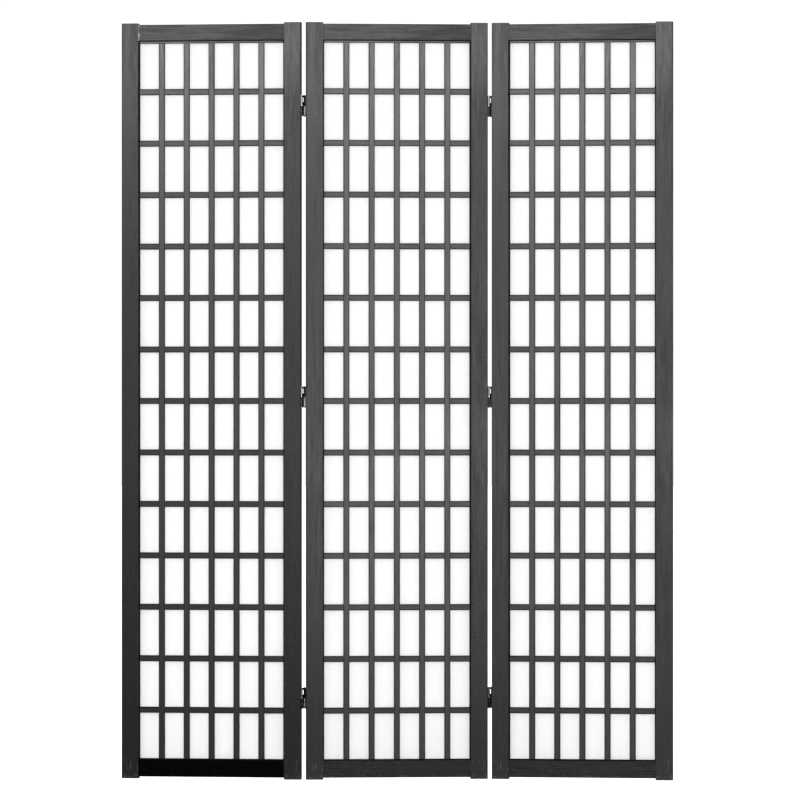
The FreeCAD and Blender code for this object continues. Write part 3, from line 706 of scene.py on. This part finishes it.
def lattice_wood(name, panel, along, look, gloss, depth=1.0):
    """Stained wood of the slats, with shade painted beside their edges, each slat a little
    different. depth is how much of the stain's tone is left."""
    material, tree = new_material(name)
    position = place_in_panel(tree, panel)
    tone, fibre = grain_tone(tree, position, along)
    edge = add_node(tree, "ShaderNodeAttribute", attribute_name="edge").outputs["Fac"]
    shade = add_node(tree, "ShaderNodeAttribute", attribute_name="shade").outputs["Fac"]
    tone = calculate(tree, "MULTIPLY", tone, remap(tree, shade, 0.0, 1.0, *SLAT_TONES))
    # Painted shade: the stain is darker beside the slats' edges.
    edge_shade = remap(tree, edge, 0.0, 1.0, depth, SLAT_EDGE_SHADE * depth)
    stain = scaled_colour(tree, look.lattice_stain, calculate(tree, "MULTIPLY", tone, edge_shade))
    satin_finish(tree, stain, tone, edge, shaded_foot(tree, position, panel), gloss, fibre)
    return material


def paper_material(name, panel, look):
    """Machine-made shoji paper, which lets light through: pale fibres and faint upright
    streaks."""
    material, tree = new_material(name)
    position = place_in_panel(tree, panel)
    streak = noise(tree, stretched(tree, position, UP, 0.04), 60.0, 3.0)
    fibre = noise(tree, position, 420.0, 5.0, 0.7)
    tone = calculate(tree, "ADD", vary(tree, streak, -0.02, 0.02), vary(tree, fibre, 0.965, 1.0))
    finish_material(tree, {
        "Base Color": scaled_colour(tree, look.paper_white, tone), "Roughness": 0.85,
        "Specular IOR Level": 0.2, "Subsurface Weight": 1.0, "Subsurface Scale": 2.5 * MM,
        "Subsurface Radius": (1.0, 1.0, 1.0), "Normal": bump(tree, fibre, 0.05 * MM, 0.5),
    })
    return material


def nickel_material(name, plain):
    """Brushed nickel, with a little wear in its gloss. plain makes its colour from a tree and
    the place of the point."""
    material, tree = new_material(name)
    position = place_on_screen(tree)
    brushed = noise(tree, stretched(tree, position, UP, 0.06), 2600.0, 3.0, 0.6)
    handled = noise(tree, position, 130.0, 3.0)
    tone = calculate(
        tree, "MULTIPLY", vary(tree, brushed, 0.9, 1.05), vary(tree, handled, 0.94, 1.03),
    )
    finish_material(tree, {
        "Base Color": scaled_colour(tree, plain(tree, position), tone), "Metallic": 1.0,
        "Roughness": vary(tree, handled, 0.24, 0.38),
        "Normal": bump(tree, brushed, 0.02 * MM, 0.35),
    })
    return material


def link_colour(tree, position, node, look):
    """A link's colours: nickel, with shade painted round the window, and highlight painted on
    the strap at mid-height and on the plate below it."""
    low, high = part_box(node)
    start = low[ALONG] + WINDOW_SHARE * (high[ALONG] - low[ALONG])
    parts = split_place(tree, position)
    height = calculate(tree, "SUBTRACT", parts["Z"], (low[UP] + high[UP]) / 2)
    beyond = calculate(tree, "GREATER_THAN", parts["X"], start)
    window_shade = calculate(tree, "MULTIPLY", beyond, calculate(tree, "GREATER_THAN", height, 0.0))
    plate_highlight = calculate(tree, "MULTIPLY", beyond, calculate(tree, "LESS_THAN", height, 0.0))
    from_middle = calculate(tree, "ABSOLUTE", height)
    strap = calculate(tree, "LESS_THAN", from_middle, STRAP_HALF_HEIGHT)
    # Painted shade round the window, then painted highlight on the strap and on the plate below
    # it.
    colour = blend_colours(tree, window_shade, look.nickel, look.shaded_black)
    return blend_colours(tree, calculate(tree, "MAXIMUM", strap, plate_highlight), colour, look.strap)


def dowel_material(name):
    """Plain beech, which only shows inside the joints."""
    material, tree = new_material(name)
    fibre = noise(tree, stretched(tree, place_on_screen(tree), ALONG, 0.03), 1200.0, 3.0)
    tone = vary(tree, fibre, 0.85, 1.1)
    finish_material(tree, {
        "Base Color": scaled_colour(tree, BEECH, tone), "Roughness": 0.6,
        "Normal": bump(tree, fibre, 0.05 * MM, 0.6),
    })
    return material


def dress_node(node, material):
    slots = frame["nodes"][node].material_slots
    for slot in slots:
        slot.material = material
    if not slots:
        frame["nodes"][node].data.materials.append(material)


# Operators: one for each group of like pieces.


class SCREEN_OT_frames(bpy.types.Operator):
    """Stained wood for the stiles and rails of the three panels"""

    bl_idname = "shoji.frames"
    bl_label = "Stiles and rails"

    def execute(self, context):
        look = context.scene.shoji_look
        band = context.scene.shoji_sizes.edge_band
        for panel in PANELS:
            low, high = box_of(f"{panel}_right_stile", panel)
            wood = frame_wood(
                f"{panel}_stile_wood", panel, UP, look, (low.x, high.x), band, STILE_GLOSS,
            )
            dress_node(f"{panel}_left_stile", wood)
            dress_node(f"{panel}_right_stile", wood)
            rails = (("top_rail", TOP_RAIL_GLOSS), ("bottom_rail", BOTTOM_RAIL_GLOSS))
            for rail, gloss in rails:
                node, depth = f"{panel}_{rail}", 1.0
                if node == BLACK_RAIL:
                    gloss, depth = BLACK_RAIL_GLOSS, BLACK_RAIL_TONE
                low, high = box_of(node, panel)
                wood = frame_wood(
                    f"{node}_wood", panel, ALONG, look, (low.z, high.z), band, gloss, depth,
                    crack=low.x if node == OPEN_JOINT else None,
                )
                dress_node(node, wood)
        return {"FINISHED"}


class SCREEN_OT_dowels(bpy.types.Operator):
    """Plain beech for the dowels inside the joints"""

    bl_idname = "shoji.dowels"
    bl_label = "Dowels"

    def execute(self, context):
        beech = dowel_material("dowel_beech")
        for panel in PANELS:
            dress_node(f"{panel}_dowels", beech)
        return {"FINISHED"}


class SCREEN_OT_uprights(bpy.types.Operator):
    """Upright slats and side border strips of the three lattices"""

    bl_idname = "shoji.uprights"
    bl_label = "Upright slats"

    def execute(self, context):
        look, sizes = context.scene.shoji_look, context.scene.shoji_sizes
        tree = slat_row_tree()
        for index, panel in enumerate(PANELS):
            lattice = Lattice(panel)
            wood = lattice_wood(f"{panel}_upright_wood", panel, UP, look, UPRIGHT_GLOSS)
            # A duller copy of the wood paints shade beside the slats' edges.
            edge_shade_wood = lattice_wood(
                f"{panel}_upright_edge_shade_wood", panel, UP, look, UPRIGHT_EDGE_SHADE_GLOSS,
            )
            # The side border strips get the frame's painted shade all over.
            shaded = lattice_wood(
                f"{panel}_border_painted_shade", panel, UP, look, BORDER_SHADE_GLOSS, BORDER_SHADE_TONE,
            )
            first, last = lattice.columns[0], lattice.columns[-1]
            slat = upright_slat(
                lattice, sizes, first, lattice.rows, lattice.clear_low, lattice.clear_high,
                f"{panel}_upright_slat",
            )
            piece = new_piece(f"{panel}_lattice_uprights", slat)
            count = len(lattice.columns)
            pitch = ((last[0] - first[0]) / (count - 1), 0.0, 0.0)
            run_tree(piece, tree, {
                "Count": count, "Pitch": pitch, "Shade seed": sizes.grain_seed + index,
                "Material": wood, "Edge shade material": edge_shade_wood,
            })
            settle(piece, panel)
            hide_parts(f"{panel}_upright_slats")
            for strip, side in zip(lattice.side_strips, ("left", "right")):
                mesh = upright_slat(
                    lattice, sizes, strip, [], lattice.low.z, lattice.high.z,
                    f"{panel}_{side}_border",
                )
                mesh.materials.append(shaded)
                border = new_piece(f"{panel}_lattice_{side}_border", mesh)
                settle(border, panel)
        return {"FINISHED"}


class SCREEN_OT_crosses(bpy.types.Operator):
    """Cross slats and top and bottom border strips of the three lattices"""

    bl_idname = "shoji.crosses"
    bl_label = "Cross slats"

    def execute(self, context):
        look, sizes = context.scene.shoji_look, context.scene.shoji_sizes
        tree = slat_row_tree()
        for index, panel in enumerate(PANELS):
            lattice = Lattice(panel)
            wood = lattice_wood(f"{panel}_cross_wood", panel, ALONG, look, CROSS_GLOSS)
            # A duller copy of the wood paints shade beside the slats' edges.
            edge_shade_wood = lattice_wood(
                f"{panel}_cross_edge_shade_wood", panel, ALONG, look, CROSS_EDGE_SHADE_GLOSS,
            )
            # The border strips get painted shade: the top one just under the rail, the bottom
            # one all over.
            shaded = lattice_wood(
                f"{panel}_rail_border_painted_shade", panel, ALONG, look, BORDER_SHADE_GLOSS, BORDER_SHADE_TONE,
            )
            first, last = lattice.rows[0], lattice.rows[-1]
            slat = cross_slat(lattice, sizes, first, lattice.columns, f"{panel}_cross_slat")
            piece = new_piece(f"{panel}_lattice_crosses", slat)
            count = len(lattice.rows)
            pitch = (0.0, 0.0, (last[0] - first[0]) / (count - 1))
            run_tree(piece, tree, {
                "Count": count, "Pitch": pitch,
                "Shade seed": sizes.grain_seed + CROSS_SEEDS + index,
                "Material": wood, "Edge shade material": edge_shade_wood,
            })
            settle(piece, panel)
            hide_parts(f"{panel}_cross_slats")
            under_rail = box_of(f"{panel}_top_rail", panel)[0].z - sizes.edge_band
            for strip, end, line in zip(
                lattice.end_strips, ("bottom", "top"), (None, under_rail),
            ):
                mesh = cross_slat(lattice, sizes, strip, [], f"{panel}_{end}_border", line)
                mesh.materials.append(wood)
                mesh.materials.append(shaded)
                shade_above(mesh, line or strip[0])
                border = new_piece(f"{panel}_lattice_{end}_border", mesh)
                settle(border, panel)
        return {"FINISHED"}


class SCREEN_OT_papers(bpy.types.Operator):
    """The sheet of paper behind each lattice"""

    bl_idname = "shoji.papers"
    bl_label = "Paper"

    def execute(self, context):
        look, sizes = context.scene.shoji_look, context.scene.shoji_sizes
        for panel in PANELS:
            mesh, flat = paper_mesh(panel, sizes)
            mesh.materials.append(paper_material(f"{panel}_paper_white", panel, look))
            piece = new_piece(f"{panel}_paper_sheet", mesh)
            settle(piece, panel)
            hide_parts(f"{panel}_paper")
        return {"FINISHED"}


class SCREEN_OT_hinges(bpy.types.Operator):
    """Nickel for the hinge leaves, links, pins and screws, with shade painted on the leaves and
    round the links' windows, and highlight on the links' straps and plates
    """

    bl_idname = "shoji.hinges"
    bl_label = "Hinges"

    def execute(self, context):
        look = context.scene.shoji_look
        nickel = nickel_material("hinge_nickel", lambda tree, position: look.nickel)
        shaded_black = nickel_material("hinge_shaded_black_nickel", lambda tree, position: look.shaded_black)
        for node in frame["nodes"]:
            if node.endswith("_link"):
                dress_node(node, nickel_material(
                    f"{node}_nickel",
                    lambda tree, position, node=node: link_colour(tree, position, node, look),
                ))
            elif node.endswith("_leaf"):
                # The leaves are painted near-black as shade.
                dress_node(node, shaded_black)
            elif node.endswith(NICKEL_ENDINGS):
                dress_node(node, nickel)
        return {"FINISHED"}


class SCREEN_OT_stage(bpy.types.Operator):
    """Pale floor, soft light and the camera"""

    bl_idname = "shoji.stage"
    bl_label = "Stage"

    def execute(self, context):
        make_floor()
        make_world()
        for softbox in SOFTBOXES:
            add_softbox(*softbox)
        make_camera(context)
        return {"FINISHED"}


def make_floor():
    """A pale floor that reads as white in the picture, apart from the shade under the screen."""
    bm = bmesh.new()
    bmesh.ops.create_circle(bm, cap_ends=True, radius=FLOOR_RADIUS, segments=FLOOR_SIDES)
    floor = new_piece("floor", mesh_from(bm, "floor"))
    material, tree = new_material("pale_floor")
    tone = vary(tree, noise(tree, place_on_screen(tree), 1.5, 4.0), 0.97, 1.0)
    path = add_node(tree, "ShaderNodeLightPath").outputs
    dimmed = remap(tree, path["Is Glossy Ray"], 0.0, 1.0, 1.0, FLOOR_REFLECTED)
    tone = calculate(tree, "MULTIPLY", tone, dimmed)
    finish_material(tree, {
        "Base Color": scaled_colour(tree, FLOOR_COLOUR, tone), "Roughness": 0.9,
        "Specular IOR Level": 0.1, "Emission Color": WHITE,
        "Emission Strength": calculate(tree, "MULTIPLY", path["Is Camera Ray"], FLOOR_GLOW),
    })
    floor.data.materials.append(material)


def make_world():
    """White where it is seen, a soft fill on matt surfaces, and dim in reflections."""
    world = bpy.data.worlds.new("studio")
    world.use_nodes = True
    tree = world.node_tree
    tree.nodes.clear()
    path = add_node(tree, "ShaderNodeLightPath").outputs
    fill = remap(tree, path["Is Glossy Ray"], 0.0, 1.0, WORLD_FILL, WORLD_REFLECTED)
    strength = calculate(tree, "MAXIMUM", path["Is Camera Ray"], fill)
    background = add_node(tree, "ShaderNodeBackground", {"Color": WHITE, "Strength": strength})
    output = tree.nodes.new("ShaderNodeOutputWorld")
    tree.links.new(background.outputs["Background"], output.inputs["Surface"])
    bpy.context.scene.world = world


def add_softbox(name, place, target, size, power, reflected, diffuse):
    """A soft rectangular light that the camera doesn't see."""
    data = bpy.data.lights.new(name, "AREA")
    data.shape = "RECTANGLE"
    data.size, data.size_y = size
    data.energy = power
    softbox = bpy.data.objects.new(name, data)
    softbox.location = place
    aim = Vector(target) - Vector(place)
    softbox.rotation_euler = aim.to_track_quat("-Z", "Y").to_euler()
    softbox.visible_camera = False
    softbox.visible_glossy = reflected
    softbox.visible_diffuse = diffuse
    bpy.context.scene.collection.objects.link(softbox)


def make_camera(context):
    data = bpy.data.cameras.new("camera")
    data.lens = CAMERA_LENS
    data.sensor_width = CAMERA_SENSOR
    data.clip_end = CAMERA_REACH
    camera = bpy.data.objects.new("camera", data)
    camera.location = CAMERA_PLACE
    camera.rotation_euler = (math.radians(90), 0.0, 0.0)
    context.scene.collection.objects.link(camera)
    context.scene.camera = camera
    context.scene.view_settings.view_transform = "Standard"


class SCREEN_PT_panel(bpy.types.Panel):
    """Shows the screen's colours and sizes, and a button for each group of pieces"""

    bl_idname = "SCREEN_PT_panel"
    bl_label = "Shoji screen"
    bl_space_type = "VIEW_3D"
    bl_region_type = "UI"
    bl_category = "Shoji screen"

    def draw(self, context):
        for group in (context.scene.shoji_look, context.scene.shoji_sizes):
            for name in group.__annotations__:
                self.layout.prop(group, name)
        for operator in OPERATORS:
            self.layout.operator(operator.bl_idname)


OPERATORS = (
    SCREEN_OT_frames, SCREEN_OT_dowels, SCREEN_OT_uprights, SCREEN_OT_crosses,
    SCREEN_OT_papers, SCREEN_OT_hinges, SCREEN_OT_stage,
)
CLASSES = (ScreenLook, ScreenSizes, *OPERATORS, SCREEN_PT_panel)


def register():
    for each in CLASSES:
        bpy.utils.register_class(each)
    bpy.types.Scene.shoji_look = bpy.props.PointerProperty(type=ScreenLook)
    bpy.types.Scene.shoji_sizes = bpy.props.PointerProperty(type=ScreenSizes)


def unregister():
    del bpy.types.Scene.shoji_sizes
    del bpy.types.Scene.shoji_look
    for each in reversed(CLASSES):
        bpy.utils.unregister_class(each)


def main():
    register()
    bpy.ops.shoji.frames()
    bpy.ops.shoji.dowels()
    bpy.ops.shoji.uprights()
    bpy.ops.shoji.crosses()
    bpy.ops.shoji.papers()
    bpy.ops.shoji.hinges()
    bpy.ops.shoji.stage()


if __name__ == "__main__":
    main()
